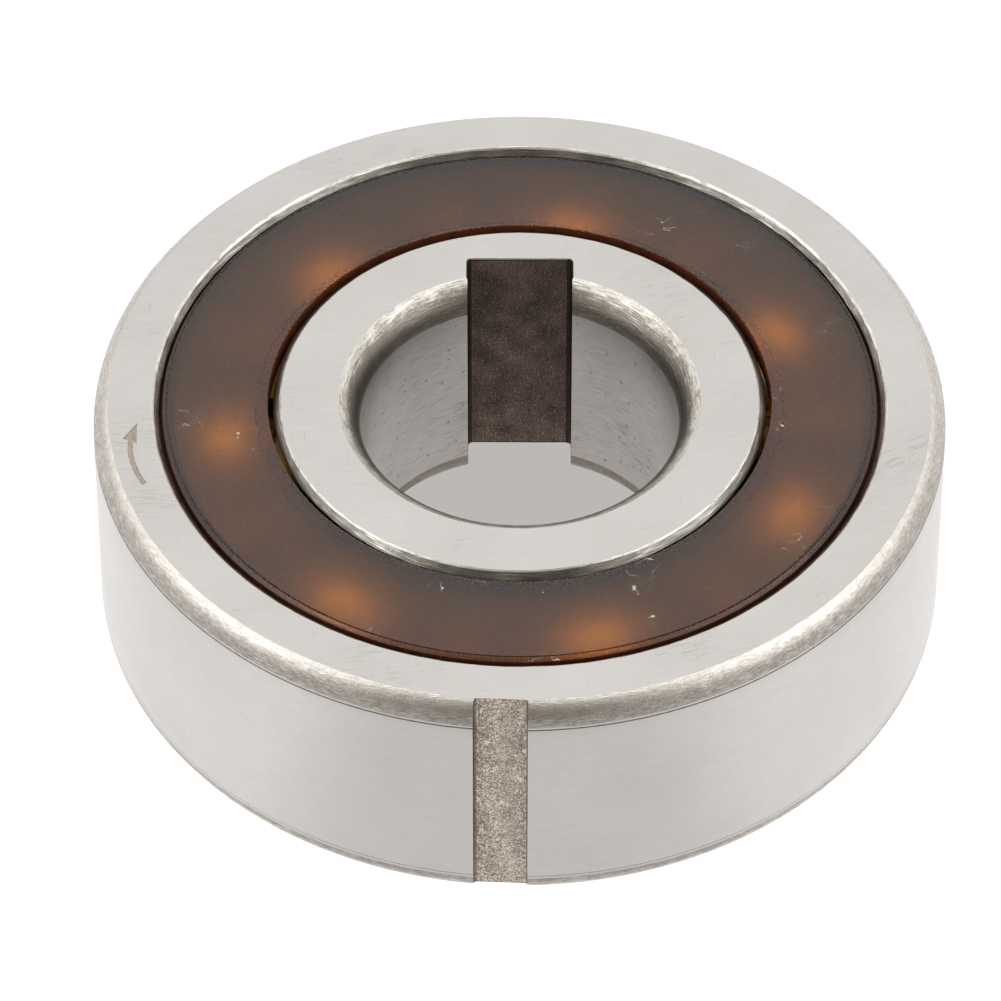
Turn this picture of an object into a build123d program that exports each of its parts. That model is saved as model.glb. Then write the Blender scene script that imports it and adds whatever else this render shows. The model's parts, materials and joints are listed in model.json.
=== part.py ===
"""One-way sprag clutch built into a grooved ball bearing.

Balls and crowned sprags take turns in one cage and run in the same pair of grooves. The balls carry
the rings. The sprags let the inner ring turn forwards (anticlockwise, seen from above) and wedge when
it tries to turn back. All sizes are in millimetres, +Z is the bearing's axis, and the origin is on the
axis halfway between the two faces.
"""

from build123d import *
import math
import os

# ---- rings ----
bore_diameter = 12.0
outside_diameter = 32.0
ring_width = 10.0
outer_corner_radial = 0.55
outer_corner_axial = 1.0
bore_corner_radial = 0.82
bore_corner_axial = 1.2

# ---- row of balls and sprags ----
ball_diameter = 5.556
ball_count = 7
first_ball_azimuth = 28.2
race_clearance = 0.01
groove_radius = 2.889
outer_groove_depth = 0.868
inner_groove_depth = 1.028

# ---- keyways, cut along the whole width ----
bore_key_width = 4.0
bore_key_depth = 1.5
bore_key_azimuth = 90.0
bore_key_corner = 0.2
rim_key_width = 2.0
rim_key_depth = 0.6
rim_key_azimuth = -92.4
rim_key_corner = 0.1

# ---- shields, each snapped into a groove of the outer ring ----
shield_recess = 0.05
shield_thickness = 0.6
shield_lip_depth = 0.85
shield_lip_width = 0.4
shield_gap = 0.2
shield_bevel = 0.1
snap_mouth_diameter = 27.0
snap_groove_diameter = 27.5
snap_groove_width = 0.3
snap_slope = 0.15
snap_clearance = 0.04
mouth_chamfer = 0.25
inner_face_chamfer = 0.28

# ---- sprags ----
outer_cam_radius = 3.2
inner_cam_radius = 3.0
cam_offset = 0.17
sprag_width = 4.0
head_width = 3.0
waist_width = 1.8
foot_width = 2.5

# ---- cage, a one-piece moulded crown: a base ring with horns that snap round the balls ----
cage_gap = 0.25
cage_base = 3.6
cage_horn_height = 1.3
cage_edge = 0.3
pocket_clearance = 0.1
window_width = 2.7
window_clearance = 0.12
core_width = 1.6
core_length = 2.0
core_depth = 0.7
core_corner = 0.25

# ---- leaf springs, one behind each sprag's head ----
spring_thickness = 0.12
spring_length = 2.4
spring_leg = 0.62
spring_opening = 0.48
spring_start = 0.55
spring_recess_depth = 0.5
spring_recess_margin = 0.1

# ---- worked out from the sizes above ----
half_width = ring_width / 2
bore_radius = bore_diameter / 2
outside_radius = outside_diameter / 2
ball_radius = ball_diameter / 2
pitch_radius = (bore_radius + outside_radius) / 2
outer_groove_bottom = pitch_radius + ball_radius + race_clearance
inner_groove_bottom = pitch_radius - ball_radius - race_clearance
outer_shoulder = outer_groove_bottom - outer_groove_depth
inner_shoulder = inner_groove_bottom + inner_groove_depth
shield_top = half_width - shield_recess
shield_inner_radius = inner_shoulder + shield_gap
shield_rim_bottom = shield_top - shield_lip_depth
snap_floor = shield_rim_bottom - snap_clearance
snap_groove_radius = snap_groove_diameter / 2
snap_mouth_radius = snap_mouth_diameter / 2
cage_inner_radius = inner_shoulder + cage_gap
cage_outer_radius = outer_shoulder - cage_gap
sprag_half_height = ball_radius - race_clearance
pitch_step = 360 / ball_count
ball_azimuths = [first_ball_azimuth + i * pitch_step for i in range(ball_count)]
sprag_azimuths = [azimuth + pitch_step / 2 for azimuth in ball_azimuths]


def groove_half_length(depth):
    """Axial half-length of a race groove of this depth, where it meets its shoulder."""
    return math.sqrt(groove_radius**2 - (groove_radius - depth) ** 2)


def keyway_plane(azimuth):
    """Plane on the lower face with its X axis pointing outwards at the azimuth."""
    angle = math.radians(azimuth)
    return Plane(
        origin=(0, 0, -half_width), x_dir=(math.cos(angle), math.sin(angle), 0), z_dir=(0, 0, 1)
    )


def sprag_plane(azimuth, radial=0.0, tangential=0.0):
    """Plane across the axis on the pitch circle: X outwards, Y anticlockwise along the circle."""
    angle = math.radians(azimuth)
    outwards = Vector(math.cos(angle), math.sin(angle), 0)
    along = Vector(-math.sin(angle), math.cos(angle), 0)
    origin = outwards * (pitch_radius + radial) + along * tangential
    return Plane(origin=origin, x_dir=outwards, z_dir=(0, 0, 1))


def upright(plane):
    """The same place, with the plane turned up so that its Y axis runs along the bearing's axis."""
    return Plane(origin=plane.origin, x_dir=plane.x_dir, z_dir=plane.x_dir.cross(Vector(0, 0, 1)))


def save(piece, name):
    """Label a finished piece and write it as its own STEP file."""
    piece.part.label = name
    export_step(piece.part, f"parts/{name}.step")


def make_outer_ring():
    """Hardened outer ring: grooved race, a snap groove for each shield and a keyway in the rim."""
    groove_end = groove_half_length(outer_groove_depth)
    mouth_top = snap_mouth_radius + mouth_chamfer
    with BuildPart() as outer_ring:
        with BuildSketch(Plane.XZ):
            with BuildLine():
                Line((outside_radius, 0), (outside_radius, half_width - outer_corner_axial))
                TangentArc(
                    (outside_radius, half_width - outer_corner_axial),
                    (outside_radius - outer_corner_radial, half_width),
                    tangent=(0, 1),
                )
                Polyline(
                    (outside_radius - outer_corner_radial, half_width),
                    (mouth_top, half_width),
                    (snap_mouth_radius, half_width - mouth_chamfer),
                    (snap_mouth_radius, snap_floor + snap_groove_width + snap_slope),
                    (snap_groove_radius, snap_floor + snap_groove_width),
                    (snap_groove_radius, snap_floor),
                    (outer_shoulder, snap_floor),
                    (outer_shoulder, groove_end),
                )
                mirror(about=Plane.XZ)
                ThreePointArc(
                    (outer_shoulder, groove_end), (outer_groove_bottom, 0), (outer_shoulder, -groove_end)
                )
            make_face()
        revolve(axis=Axis.Z)
        with BuildSketch(keyway_plane(rim_key_azimuth)) as keyway:
            with Locations((outside_radius - rim_key_depth, 0)):
                Rectangle(2 * rim_key_depth, rim_key_width, align=(Align.MIN, Align.CENTER))
            fillet(keyway.vertices().group_by(Axis.X)[0], rim_key_corner)
        extrude(amount=ring_width, mode=Mode.SUBTRACT)
    return outer_ring


def make_inner_ring():
    """Hardened inner ring: grooved race outside, rounded bore corners and a keyway in the bore."""
    groove_end = groove_half_length(inner_groove_depth)
    with BuildPart() as inner_ring:
        with BuildSketch(Plane.XZ):
            with BuildLine():
                Line((bore_radius, 0), (bore_radius, half_width - bore_corner_axial))
                TangentArc(
                    (bore_radius, half_width - bore_corner_axial),
                    (bore_radius + bore_corner_radial, half_width),
                    tangent=(0, 1),
                )
                Polyline(
                    (bore_radius + bore_corner_radial, half_width),
                    (inner_shoulder - inner_face_chamfer, half_width),
                    (inner_shoulder, half_width - inner_face_chamfer),
                    (inner_shoulder, groove_end),
                )
                mirror(about=Plane.XZ)
                ThreePointArc(
                    (inner_shoulder, groove_end), (inner_groove_bottom, 0), (inner_shoulder, -groove_end)
                )
            make_face()
        revolve(axis=Axis.Z)
        with BuildSketch(keyway_plane(bore_key_azimuth)) as keyway:
            with Locations((bore_radius + bore_key_depth, 0)):
                Rectangle(2 * bore_key_depth, bore_key_width, align=(Align.MAX, Align.CENTER))
            fillet(keyway.vertices().group_by(Axis.X)[-1], bore_key_corner)
        extrude(amount=ring_width, mode=Mode.SUBTRACT)
    return inner_ring


def make_shield(upper):
    """Moulded shield: a thin disc with a thick inner lip and a bead that snaps into the outer ring."""
    bead_radius = snap_groove_radius - snap_clearance
    neck_radius = snap_mouth_radius - snap_clearance
    underside = shield_top - shield_thickness
    bead_top = snap_floor + snap_groove_width - snap_clearance
    rim_inner_radius = outer_shoulder + snap_clearance
    with BuildPart() as shield:
        with BuildSketch(Plane.XZ):
            with BuildLine():
                Polyline(
                    (shield_inner_radius, shield_rim_bottom),
                    (shield_inner_radius + shield_lip_width, shield_rim_bottom),
                    (shield_inner_radius + shield_lip_width + shield_bevel, underside),
                    (rim_inner_radius, underside),
                    (rim_inner_radius, shield_rim_bottom),
                    (bead_radius, shield_rim_bottom),
                    (bead_radius, bead_top),
                    (neck_radius, bead_top + snap_slope),
                    (neck_radius, shield_top - shield_bevel),
                    (neck_radius - shield_bevel, shield_top),
                    (shield_inner_radius, shield_top),
                    close=True,
                )
            make_face()
        revolve(axis=Axis.Z)
        if not upper:
            mirror(about=Plane.XY, mode=Mode.REPLACE)
    return shield


def make_ball(azimuth):
    """One bearing ball on the pitch circle."""
    with BuildPart(sprag_plane(azimuth)) as ball:
        Sphere(ball_radius)
    return ball


def make_sprag(azimuth):
    """One sprag: two crowned cams on offset axes, so that a turn forwards makes the sprag taller."""
    half_length = sprag_width / 2
    crown_drop = ball_radius - math.sqrt(ball_radius**2 - half_length**2)
    outer_cam = sprag_plane(azimuth, sprag_half_height - outer_cam_radius, -cam_offset)
    inner_cam = sprag_plane(azimuth, inner_cam_radius - sprag_half_height, cam_offset)
    head = head_width / 2
    waist = waist_width / 2
    foot = foot_width / 2
    with BuildPart() as sprag:
        with BuildSketch(sprag_plane(azimuth)):
            with BuildLine():
                Line((ball_radius, -cam_offset - head), (ball_radius, -cam_offset + head))
                ThreePointArc(
                    (ball_radius, -cam_offset + head), (0, waist), (-ball_radius, cam_offset + foot)
                )
                Line((-ball_radius, cam_offset + foot), (-ball_radius, cam_offset - foot))
                ThreePointArc(
                    (-ball_radius, cam_offset - foot), (0, -waist), (ball_radius, -cam_offset - head)
                )
            make_face()
        extrude(amount=half_length, both=True)
        for cam, radius in ((outer_cam, outer_cam_radius), (inner_cam, inner_cam_radius)):
            edge_radius = radius - crown_drop
            with BuildSketch(upright(cam)):
                with BuildLine():
                    Polyline(
                        (edge_radius, -half_length),
                        (0, -half_length),
                        (0, half_length),
                        (edge_radius, half_length),
                    )
                    ThreePointArc((edge_radius, -half_length), (radius, 0), (edge_radius, half_length))
                make_face()
            revolve(axis=Axis(cam.origin, (0, 0, 1)), mode=Mode.INTERSECT)
    return sprag


def make_cage():
    """Crown cage: a base ring with a ball pocket, a sprag window and a spring recess for each pair."""
    window_floor = -sprag_width / 2 - window_clearance
    spring_floor = -spring_length / 2
    recess_length = spring_leg + 2 * spring_thickness + 2 * spring_recess_margin
    recess_radial = spring_start - spring_recess_margin + recess_length / 2
    with BuildPart() as cage:
        with BuildSketch(Plane.XY.offset(-cage_base)):
            Circle(cage_outer_radius)
            Circle(cage_inner_radius, mode=Mode.SUBTRACT)
        extrude(amount=cage_base + cage_horn_height)
        chamfer(cage.edges().group_by(Axis.Z)[0], cage_edge)
        for azimuth in ball_azimuths:
            with Locations(sprag_plane(azimuth)):
                Sphere(ball_radius + pocket_clearance, mode=Mode.SUBTRACT)
        for azimuth in sprag_azimuths:
            window = sprag_plane(azimuth)
            recess = sprag_plane(azimuth, recess_radial, -window_width / 2)
            with BuildSketch(window.offset(window_floor)):
                Rectangle(ball_diameter, window_width)
            with BuildSketch(recess.offset(spring_floor)):
                Rectangle(recess_length, 2 * spring_recess_depth)
            extrude(amount=ball_diameter, mode=Mode.SUBTRACT)
            with BuildSketch(window.offset(-cage_base)):
                RectangleRounded(core_width, core_length, core_corner)
            extrude(amount=core_depth, mode=Mode.SUBTRACT)
    return cage


def make_spring(azimuth):
    """Hairpin leaf spring: its back leg lies in the cage's recess, its front leg faces the sprag's head."""
    back = -window_width / 2 - spring_recess_depth + spring_thickness / 2
    bend = spring_start + spring_thickness
    with BuildPart() as spring:
        with BuildSketch(sprag_plane(azimuth)):
            with BuildLine():
                Polyline(
                    (bend + spring_leg, back),
                    (bend, back),
                    (bend + spring_leg, back + spring_opening),
                )
            trace(line_width=spring_thickness)
        extrude(amount=spring_length / 2, both=True)
    return spring


os.makedirs("parts", exist_ok=True)

save(make_outer_ring(), "outer_ring")
save(make_inner_ring(), "inner_ring")
save(make_shield(upper=True), "top_shield")
save(make_shield(upper=False), "bottom_shield")
save(make_cage(), "cage")
for number, azimuth in enumerate(ball_azimuths, start=1):
    save(make_ball(azimuth), f"ball_{number}")
for number, azimuth in enumerate(sprag_azimuths, start=1):
    save(make_sprag(azimuth), f"sprag_{number}")
    save(make_spring(azimuth), f"sprag_spring_{number}")
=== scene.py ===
"""Looks of a one-way sprag clutch bearing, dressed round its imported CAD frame.

Two ground steel rings with a keyway each, two snapped-in amber shields, and behind them the row of
balls and sprags in their cage. The classes hold their sizes in millimetres. Finished meshes are in
metres in the CAD frame: +Z is the bearing's axis, with the origin halfway between the two faces.
"""

import json
import logging
import math
from dataclasses import dataclass, replace
from enum import Enum
from functools import partial
from typing import Any

import bmesh
import bpy
from mathutils import Matrix, Vector, noise


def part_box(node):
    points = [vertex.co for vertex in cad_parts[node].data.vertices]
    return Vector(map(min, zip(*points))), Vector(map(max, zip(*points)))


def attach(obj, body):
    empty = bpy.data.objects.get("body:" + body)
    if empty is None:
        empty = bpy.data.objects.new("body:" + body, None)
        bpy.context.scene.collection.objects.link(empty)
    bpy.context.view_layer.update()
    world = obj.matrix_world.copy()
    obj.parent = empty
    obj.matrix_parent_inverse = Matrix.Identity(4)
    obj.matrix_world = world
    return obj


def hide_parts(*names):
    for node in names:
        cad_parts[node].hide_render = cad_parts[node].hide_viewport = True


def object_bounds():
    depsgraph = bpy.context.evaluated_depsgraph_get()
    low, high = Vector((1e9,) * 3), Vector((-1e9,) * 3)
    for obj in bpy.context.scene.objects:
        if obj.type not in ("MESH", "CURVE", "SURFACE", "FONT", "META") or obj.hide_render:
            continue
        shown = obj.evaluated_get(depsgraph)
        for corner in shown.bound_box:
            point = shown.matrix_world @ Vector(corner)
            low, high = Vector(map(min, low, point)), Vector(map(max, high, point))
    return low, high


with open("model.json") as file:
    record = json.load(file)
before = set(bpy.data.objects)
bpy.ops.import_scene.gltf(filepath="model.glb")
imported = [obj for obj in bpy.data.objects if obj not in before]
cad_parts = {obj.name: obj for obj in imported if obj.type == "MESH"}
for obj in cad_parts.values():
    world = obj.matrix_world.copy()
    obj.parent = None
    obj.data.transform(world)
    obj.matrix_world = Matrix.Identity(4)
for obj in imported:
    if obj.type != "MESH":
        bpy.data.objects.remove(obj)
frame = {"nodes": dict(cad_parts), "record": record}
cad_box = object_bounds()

Socket = bpy.types.NodeSocket
Piece = bpy.types.Object
Pair = tuple[float, float]

MM = 0.001
PER_MM = 1 / MM
SHARP_ANGLE = math.radians(24)
# Distance in metres below which two vertices are one.
SAME_PLACE = 1e-8
# Values between which nearly all of a noise texture lies.
NOISE_SPAN = (0.3, 0.7)
MOUNTS = {mount["name"]: mount for mount in frame["record"]["mounts"]}
log = logging.getLogger("sprag_clutch")


# ---------------- colours, nodes and mesh helpers


def linear(hex_code: str) -> tuple[float, float, float, float]:
    """Turn an sRGB hex code into a linear colour.

    Args:
        hex_code: Colour such as "#c8c2bb".

    Returns:
        Linear red, green and blue, with an alpha of 1.
    """
    channels = [int(hex_code[i : i + 2], 16) / 255 for i in (1, 3, 5)]
    red, green, blue = (
        c / 12.92 if c <= 0.04045 else ((c + 0.055) / 1.055) ** 2.4 for c in channels
    )
    return red, green, blue, 1.0


@dataclass
class Nodes:
    """Node tree that is being built. A material's has a place: Object coordinates in mm."""

    tree: bpy.types.NodeTree
    place: Socket | None = None

    def add(
        self,
        kind: str,
        inputs: dict[str | int, Any] | list[Any] | None = None,
        out: str | int = 0,
        stops: tuple[tuple[float, str], ...] = (),
        **settings: Any,
    ) -> Socket | None:
        """Add a node, with its settings, values and links.

        Args:
            kind: Blender's name for the node's type, with ShaderNode left off.
            inputs: Value or output socket of each named input, or of the first inputs in order.
            out: Name or number of the output to give back.
            stops: Places and hex colours of a colour ramp.
            **settings: Properties of the node itself.

        Returns:
            That output, or None for a node without outputs.
        """
        node = self.tree.nodes.new(kind if "Node" in kind else f"ShaderNode{kind}")
        for name, value in settings.items():
            setattr(node, name, value)
        given = inputs if isinstance(inputs, dict) else dict(enumerate(inputs or []))
        for key, value in given.items():
            if isinstance(value, Socket):
                self.tree.links.new(value, node.inputs[key])
            else:
                node.inputs[key].default_value = value
        if stops:
            elements = node.color_ramp.elements
            while len(elements) < len(stops):
                elements.new(0.5)
            for element, (position, hex_code) in zip(elements, stops):
                element.position = position
                element.color = linear(hex_code)
        return node.outputs[out] if node.outputs else None


def new_object(name: str, data: bpy.types.ID) -> Piece:
    """Put an object into the scene.

    Args:
        name: Its name.
        data: Its mesh, light or camera.

    Returns:
        The object.
    """
    piece = bpy.data.objects.new(name, data)
    bpy.context.scene.collection.objects.link(piece)
    return piece


def new_piece(name: str, mesh: bmesh.types.BMesh) -> Piece:
    """Turn a finished bmesh into an object.

    Args:
        name: Object's name.
        mesh: Mesh, which is freed.

    Returns:
        The object.
    """
    data = bpy.data.meshes.new(name)
    mesh.to_mesh(data)
    mesh.free()
    return new_object(name, data)


def finish_mesh(piece: Piece) -> None:
    """Point a piece's faces outwards, shade it smooth and keep its real edges sharp.

    Args:
        piece: Mesh object.
    """
    mesh = bmesh.new()
    mesh.from_mesh(piece.data)
    bmesh.ops.remove_doubles(mesh, verts=mesh.verts, dist=SAME_PLACE)
    bmesh.ops.dissolve_degenerate(mesh, edges=mesh.edges, dist=SAME_PLACE)
    bmesh.ops.recalc_face_normals(mesh, faces=mesh.faces)
    if mesh.calc_volume(signed=True) < 0:
        bmesh.ops.reverse_faces(mesh, faces=mesh.faces)
    mesh.to_mesh(piece.data)
    mesh.free()
    piece.data.shade_smooth()
    piece.data.set_sharp_from_angle(angle=SHARP_ANGLE)


def bake_modifiers(piece: Piece) -> None:
    """Turn a piece's modifiers into plain mesh, and remove them.

    Args:
        piece: Mesh object.
    """
    graph = bpy.context.evaluated_depsgraph_get()
    result = bpy.data.meshes.new_from_object(piece.evaluated_get(graph), depsgraph=graph)
    piece.modifiers.clear()
    piece.data = result
    result.name = piece.name


# ---------------- finishes


class Lay(Enum):
    """Way in which a tool leaves its marks on a surface."""

    WHEEL_ARCS = "long arcs across a face, left by a grinding wheel beside the part"
    ROUND_THE_AXIS = "short dashes round the axis"
    ALONG_THE_AXIS = "strokes along the axis"
    GRAINY = "no direction"


@dataclass(frozen=True)
class Marks:
    """One family of tool marks.

    Attributes:
        lay: Way in which they run.
        across: Width of a mark, in millimetres.
        along: Length of a mark, in millimetres, where it has a direction.
        cut: Noise values at which a mark starts and is full.
        centre: Middle of the wheel's arcs, in millimetres.
    """

    lay: Lay
    across: float
    along: float = 1.0
    cut: Pair = (0.35, 0.65)
    centre: Pair = (0.0, 0.0)

    def strength(self, nodes: Nodes) -> Socket:
        """Draw the marks.

        Args:
            nodes: Nodes of the material.

        Returns:
            Output that is 1 on a mark and 0 between the marks.
        """
        wide, long = 1 / self.across, 1 / self.along
        flat = nodes.add("VectorMath", [nodes.place, (1.0, 1.0, 0.0)], operation="MULTIPLY")
        moved = nodes.add("VectorMath", [flat, (*self.centre, 0.0)], operation="SUBTRACT")
        reach = nodes.add("VectorMath", [moved], "Value", operation="LENGTH")
        ring = nodes.add("Math", [reach, wide], operation="MULTIPLY")
        if self.lay is Lay.WHEEL_ARCS:
            course = Vector((-self.centre[1], self.centre[0], 0)).normalized() * long
            run = nodes.add("VectorMath", [moved, course], "Value", operation="DOT_PRODUCT")
            grid = nodes.add("CombineXYZ", [ring, run])
        else:
            scale = {
                Lay.ROUND_THE_AXIS: (long, long, wide),
                Lay.ALONG_THE_AXIS: (wide, wide, long),
                Lay.GRAINY: (wide, wide, wide),
            }[self.lay]
            grid = nodes.add("Mapping", {"Vector": nodes.place, "Scale": scale})
        depth = ring if self.lay is Lay.ROUND_THE_AXIS else 0.0
        grain = {"Vector": grid, "W": depth, "Scale": 1.0, "Detail": 2.0, "Roughness": 0.6}
        drawn = nodes.add("TexNoise", grain, noise_dimensions="4D")
        return nodes.add("MapRange", [drawn, *self.cut])


arcs = partial(Marks, Lay.WHEEL_ARCS)
dashes = partial(Marks, Lay.ROUND_THE_AXIS)
strokes = partial(Marks, Lay.ALONG_THE_AXIS)
grains = partial(Marks, Lay.GRAINY)


@dataclass(frozen=True)
class Finish:
    """Finish of a surface, named for the real material and how its surface was made."""

    name: str

    def material(self) -> bpy.types.Material:
        """Build the finish's material once.

        Returns:
            The material.
        """
        if self.name not in bpy.data.materials:
            material = bpy.data.materials.new(self.name)
            material.use_nodes = True
            nodes = Nodes(material.node_tree)
            nodes.tree.nodes.clear()
            where = nodes.add("TexCoord", out="Object")
            nodes.place = nodes.add("Mapping", {"Vector": where, "Scale": (PER_MM,) * 3})
            nodes.add("OutputMaterial", self.draw(nodes))
        return bpy.data.materials[self.name]

    def draw(self, nodes: Nodes) -> dict[str, Socket]:
        """Draw the finish.

        Args:
            nodes: Nodes of the material.

        Returns:
            Inputs of the material's output node.
        """
        raise NotImplementedError


@dataclass(frozen=True)
class SteelFinish(Finish):
    """Bare or blackened steel, as one tool left it.

    Attributes:
        tones: Places from 0 to 1 and hex colours, from between the marks to full on them.
        marks: Families of marks. The strongest one shows at each place.
        scratches: Families of sparse dark scratches across the marks.
        scratch_share: Share of the tone that a scratch takes away.
        roughness: Roughness on a mark and between the marks.
        relief: Depth of the marks in millimetres, as the light shows it.
        blotch: Width in millimetres of the slow changes of tone.
        blotch_share: Share of the tone that the slow changes make.
        painted_highlight_normals: Upward parts of the normal between which a rounded corner turns brighter, if any.
        painted_highlight_break: How far the marks break up the line of that change.
        pit_size: Width in millimetres of dark pits, or 0 for none.
        pit_share: Share of the places that hold a pit.
        metallic: 1 for bare steel, less under scale.
    """

    tones: tuple[tuple[float, str], ...]
    marks: tuple[Marks, ...]
    scratches: tuple[Marks, ...] = ()
    scratch_share: float = 0.8
    roughness: Pair = (0.3, 0.42)
    relief: float = 0.004
    blotch: float = 4.0
    blotch_share: float = 0.35
    # Painted highlight and shade: a corner turns brighter where its normal points up.
    painted_highlight_normals: Pair | None = None
    painted_highlight_break: float = 0.16
    pit_size: float = 0.0
    pit_share: float = 0.0
    metallic: float = 1.0

    def draw(self, nodes: Nodes) -> dict[str, Socket]:
        """Draw the steel.

        Args:
            nodes: Nodes of the material.

        Returns:
            Inputs of the material's output node.
        """
        cut = self.strongest(nodes, self.marks)
        cloud = {"Vector": nodes.place, "Scale": 1 / self.blotch, "Detail": 3.0}
        slow = nodes.add("MapRange", [nodes.add("TexNoise", cloud), *NOISE_SPAN])
        shade = nodes.add("Mix", {0: self.blotch_share, 2: cut, 3: slow}, data_type="FLOAT")
        if self.painted_highlight_normals:
            shade = self.rise(nodes, shade)
        if self.scratches:
            scored = self.strongest(nodes, self.scratches)
            left = nodes.add("MapRange", [scored, 0.0, 1.0, 1.0, 1 - self.scratch_share])
            shade = nodes.add("Math", [shade, left], operation="MULTIPLY")
        if self.pit_size:
            shade = self.pits(nodes, shade)
        steel = {
            "Base Color": nodes.add("ValToRGB", [shade], stops=self.tones),
            "Metallic": self.metallic,
            "Roughness": nodes.add("MapRange", [cut, 0.0, 1.0, *reversed(self.roughness)]),
            "Normal": nodes.add(
                "Bump", {"Height": cut, "Distance": self.relief * MM, "Strength": 1.0}
            ),
        }
        return {"Surface": nodes.add("BsdfPrincipled", steel)}

    @staticmethod
    def strongest(nodes: Nodes, families: tuple[Marks, ...]) -> Socket:
        """Lay families of marks over each other, the strongest showing.

        Args:
            nodes: Nodes of the material.
            families: Families of marks.

        Returns:
            Output that is 1 on a mark and 0 between the marks.
        """
        top = families[0].strength(nodes)
        for family in families[1:]:
            top = nodes.add("Math", [top, family.strength(nodes)], operation="MAXIMUM")
        return top

    def rise(self, nodes: Nodes, shade: Socket) -> Socket:
        """Paint a highlight where a rounded corner turns towards the ring's face, and shade below
        it.

        Args:
            nodes: Nodes of the material.
            shade: Tone of the marks.

        Returns:
            Tone whose lower half lies low on the corner and whose upper half lies near the face.
        """
        upward = nodes.add("SeparateXYZ", [nodes.add("TexCoord", out="Normal")], "Z")
        steep = nodes.add("Math", [upward], operation="ABSOLUTE")
        broken = nodes.add("Math", [shade, self.painted_highlight_break, steep], operation="MULTIPLY_ADD")
        high = nodes.add("MapRange", [broken, *self.painted_highlight_normals])
        return nodes.add("Mix", {0: 0.5, 2: shade, 3: high}, data_type="FLOAT")

    def pits(self, nodes: Nodes, shade: Socket) -> Socket:
        """Darken small scattered pits.

        Args:
            nodes: Nodes of the material.
            shade: Tone that the pits are cut out of.

        Returns:
            Tone with the pits in it.
        """
        # A cell is 2.5 pits wide. The pit's floor reaches 0.15 of that, and its slope 0.3.
        cells = nodes.add("TexVoronoi", {"Vector": nodes.place, "Scale": 0.4 / self.pit_size})
        hollow = nodes.add("MapRange", [cells, 0.15, 0.3])
        chance = nodes.add("SeparateColor", [cells.node.outputs["Color"]], "Red")
        skipped = nodes.add("Math", [chance, self.pit_share], operation="GREATER_THAN")
        keep = nodes.add("Math", [hollow, skipped], operation="MAXIMUM")
        return nodes.add("Math", [shade, keep], operation="MULTIPLY")


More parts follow.
